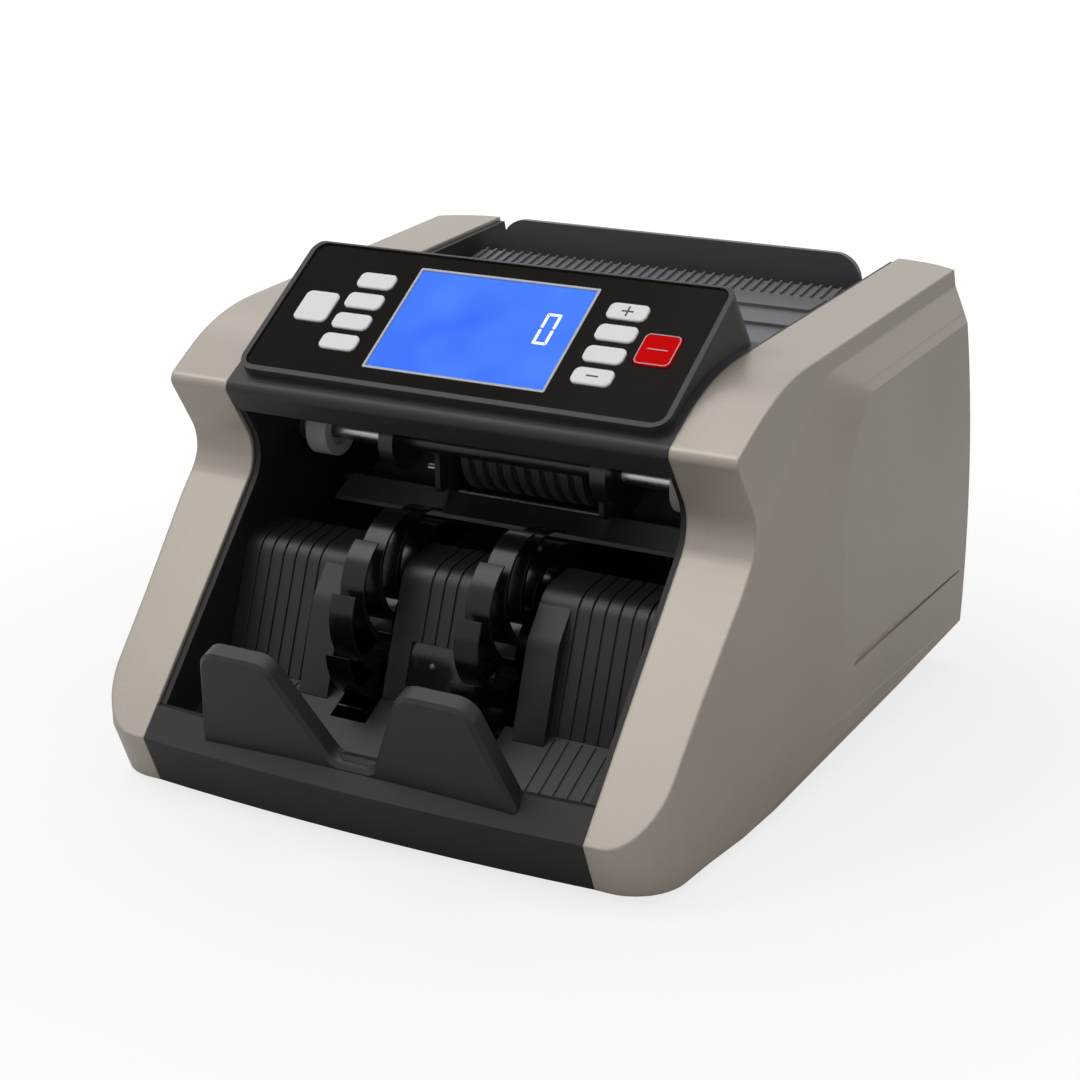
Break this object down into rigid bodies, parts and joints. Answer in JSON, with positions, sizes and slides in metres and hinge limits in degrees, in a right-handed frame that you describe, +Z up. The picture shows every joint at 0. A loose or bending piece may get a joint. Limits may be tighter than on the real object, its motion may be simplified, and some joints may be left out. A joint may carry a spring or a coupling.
{
  "type": "banknote counting machine",
  "caption": "Desktop banknote counter with champagne side panels, a sloped console with blue display, a rear note hopper and a front stacker with finned wheels.",
  "frame": {"origin": "centre of the machine's outline on the table under its feet", "axes": "+Z up, +Y towards the rear, +X to the machine's right as the operator sees it"},
  "size_m": [0.272, 0.3176, 0.2027],
  "materials": {
    "shell": "satin metallic champagne paint",
    "chassis_black": "fine-textured matt black",
    "console_black": "satin black",
    "stacker_black": "satin black",
    "wheel_black": "glossy black",
    "lens": "dark infrared-passing plastic",
    "foot_rubber": "matt",
    "feed_rubber": "ground, matt",
    "roller_white": "matt off-white",
    "steel": "turned and ground",
    "brass": "machined",
    "pulley_plastic": "moulded",
    "board_green": "solder mask",
    "transformer_grey": "varnished",
    "fitting_black": "moulded",
    "overlay_glass": "high-gloss black sheet",
    "display_blue": "lit blue display",
    "display_trim": "satin light grey",
    "key_white": "satin white",
    "key_red": "satin red"
  },
  "bodies": {
    "chassis": {"right_side_panel": "shell", "left_side_panel": "shell", "right_side_frame": "chassis_black", "left_side_frame": "chassis_black", "base_pan": "chassis_black", "rubber_feet": "foot_rubber", "base_screws": "steel", "main_board": "board_green", "transformer": "transformer_grey", "stacker_floor": "stacker_black", "right_stacker_guide": "stacker_black", "left_stacker_guide": "stacker_black", "centre_stacker_guide": "stacker_black", "sensor_window": "lens", "note_stop": "stacker_black", "shaft_bushes": "pulley_plastic", "cage_plates": "chassis_black", "cage_pins": "steel", "throat_chute": "chassis_black", "wear_strip": "steel", "motor": "steel", "motor_belt": "foot_rubber", "pickup_belt": "foot_rubber", "stacker_belt": "foot_rubber", "hopper_tray": "console_black", "hopper_back_plate": "console_black", "rear_cover": "chassis_black", "power_inlet": "fitting_black", "inlet_pins": "brass", "switch_body": "fitting_black", "console_housing": "console_black", "control_panel": "overlay_glass", "display_screen": "display_blue", "display_bezel": "display_trim", "key_board": "board_green"},
    "feed_drive": {"feed_drum": "steel", "feed_rings": "feed_rubber", "feed_pulley": "pulley_plastic", "stacker_drive_pulley": "pulley_plastic"},
    "pickup_drive": {"pickup_shaft": "steel", "pickup_rollers": "feed_rubber", "pickup_pulley": "pulley_plastic"},
    "stacker_drive": {"wheel_shaft": "steel", "stacking_wheels": "wheel_black", "wheel_pulley": "pulley_plastic"},
    "guide_rolls": {"roller_shaft": "steel", "guide_rollers": "roller_white"},
    "motor_drive": {"motor_rotor": "steel"},
    "power_rocker": {"switch_rocker": "fitting_black"},
    "gap_adjuster": {"gap_knob": "fitting_black"},
    "left_key_1_body": {"left_key_1": "key_white"},
    "right_key_1_body": {"right_key_1": "key_white"},
    "left_key_2_body": {"left_key_2": "key_white"},
    "right_key_2_body": {"right_key_2": "key_white"},
    "left_key_3_body": {"left_key_3": "key_white"},
    "right_key_3_body": {"right_key_3": "key_white"},
    "left_key_4_body": {"left_key_4": "key_white"},
    "right_key_4_body": {"right_key_4": "key_white"},
    "function_key_body": {"function_key": "key_white"},
    "start_key_body": {"start_key": "key_red"}
  },
  "joints": [
    {"name": "feed_spin", "type": "hinge", "parent": "chassis", "child": "feed_drive", "pos_m": [0, 0.0008, 0.118], "axis": [1, 0, 0], "continuous": true},
    {"name": "pickup_spin", "type": "hinge", "parent": "chassis", "child": "pickup_drive", "pos_m": [0, 0.0298, 0.145], "axis": [1, 0, 0], "continuous": true},
    {"name": "stacker_spin", "type": "hinge", "parent": "chassis", "child": "stacker_drive", "pos_m": [0, -0.0639, 0.061], "axis": [1, 0, 0], "continuous": true},
    {"name": "guide_spin", "type": "hinge", "parent": "chassis", "child": "guide_rolls", "pos_m": [0, -0.0292, 0.126], "axis": [1, 0, 0], "continuous": true},
    {"name": "motor_spin", "type": "hinge", "parent": "chassis", "child": "motor_drive", "pos_m": [0, 0.0758, 0.069], "axis": [1, 0, 0], "continuous": true},
    {"name": "power_rock", "type": "hinge", "parent": "chassis", "child": "power_rocker", "pos_m": [-0.012, 0.1463, 0.037], "axis": [1, 0, 0], "range_deg": [-18, 0]},
    {"name": "gap_turn", "type": "hinge", "parent": "chassis", "child": "gap_adjuster", "pos_m": [0, 0.14477, 0.145], "axis": [0, 1, 0], "range_deg": [-180, 180]},
    {"name": "left_key_1_press", "type": "slide", "parent": "chassis", "child": "left_key_1_body", "axis": [0, 0.5519, -0.8339], "range_m": [0, 0.0008], "stiffness_N_per_m": 300},
    {"name": "right_key_1_press", "type": "slide", "parent": "chassis", "child": "right_key_1_body", "axis": [0, 0.5519, -0.8339], "range_m": [0, 0.0008], "stiffness_N_per_m": 300},
    {"name": "left_key_2_press", "type": "slide", "parent": "chassis", "child": "left_key_2_body", "axis": [0, 0.5519, -0.8339], "range_m": [0, 0.0008], "stiffness_N_per_m": 300},
    {"name": "right_key_2_press", "type": "slide", "parent": "chassis", "child": "right_key_2_body", "axis": [0, 0.5519, -0.8339], "range_m": [0, 0.0008], "stiffness_N_per_m": 300},
    {"name": "left_key_3_press", "type": "slide", "parent": "chassis", "child": "left_key_3_body", "axis": [0, 0.5519, -0.8339], "range_m": [0, 0.0008], "stiffness_N_per_m": 300},
    {"name": "right_key_3_press", "type": "slide", "parent": "chassis", "child": "right_key_3_body", "axis": [0, 0.5519, -0.8339], "range_m": [0, 0.0008], "stiffness_N_per_m": 300},
    {"name": "left_key_4_press", "type": "slide", "parent": "chassis", "child": "left_key_4_body", "axis": [0, 0.5519, -0.8339], "range_m": [0, 0.0008], "stiffness_N_per_m": 300},
    {"name": "right_key_4_press", "type": "slide", "parent": "chassis", "child": "right_key_4_body", "axis": [0, 0.5519, -0.8339], "range_m": [0, 0.0008], "stiffness_N_per_m": 300},
    {"name": "function_key_press", "type": "slide", "parent": "chassis", "child": "function_key_body", "axis": [0, 0.5519, -0.8339], "range_m": [0, 0.0008], "stiffness_N_per_m": 300},
    {"name": "start_key_press", "type": "slide", "parent": "chassis", "child": "start_key_body", "axis": [0, 0.5519, -0.8339], "range_m": [0, 0.0008], "stiffness_N_per_m": 300}
  ],
  "couplings": [
    {"joint": "motor_spin", "follows": "feed_spin", "ratio": 1.5556},
    {"joint": "pickup_spin", "follows": "feed_spin", "ratio": 1},
    {"joint": "stacker_spin", "follows": "feed_spin", "ratio": 0.5625}
  ]
}
